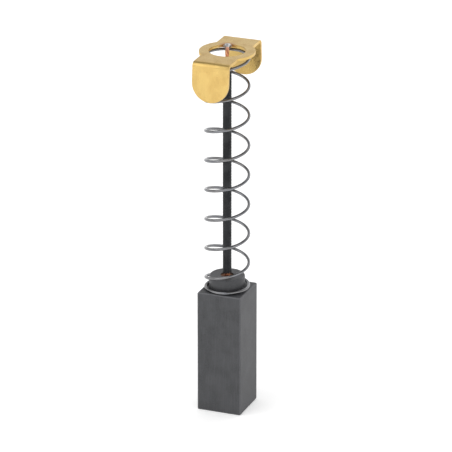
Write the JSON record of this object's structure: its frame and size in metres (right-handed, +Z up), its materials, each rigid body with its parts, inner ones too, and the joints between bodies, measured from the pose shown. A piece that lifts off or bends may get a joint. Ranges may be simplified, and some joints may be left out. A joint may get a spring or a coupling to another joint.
{
  "type": "carbon brush",
  "caption": "Square carbon brush with a round spigot, a compression spring round a sleeved copper lead, and a folded terminal cap with two rounded ears.",
  "frame": {"origin": "middle of the wear face, the square end that runs on the commutator, at the bottom", "axes": "+Z up along the brush towards the terminal cap; the cap's two ears face -Y and +Y, and its folds run along X"},
  "size_m": [0.0076, 0.0128, 0.0518],
  "materials": {
    "carbon": "matte pressed graphite, fine grained",
    "copper_powder": "matte, granular",
    "copper": "stranded, satin",
    "sleeving": "braided, varnished",
    "spring_steel": "bright drawn wire",
    "brass_sheet": "rolled sheet, satin",
    "solder": "smooth, tin grey"
  },
  "bodies": {
    "brush": {"carbon_block": "carbon", "tamped_plug": "copper_powder", "copper_lead": "copper", "lead_sleeve": "sleeving", "spring": "spring_steel"},
    "cap": {"terminal_cap": "brass_sheet", "solder_joint": "solder"}
  },
  "joints": [
    {"name": "spring_travel", "type": "slide", "parent": "brush", "child": "cap", "axis": [0, 0, -1], "range_m": [0, 0.02], "stiffness_N_per_m": 166, "deforming": ["spring", "copper_lead", "lead_sleeve"]}
  ]
}
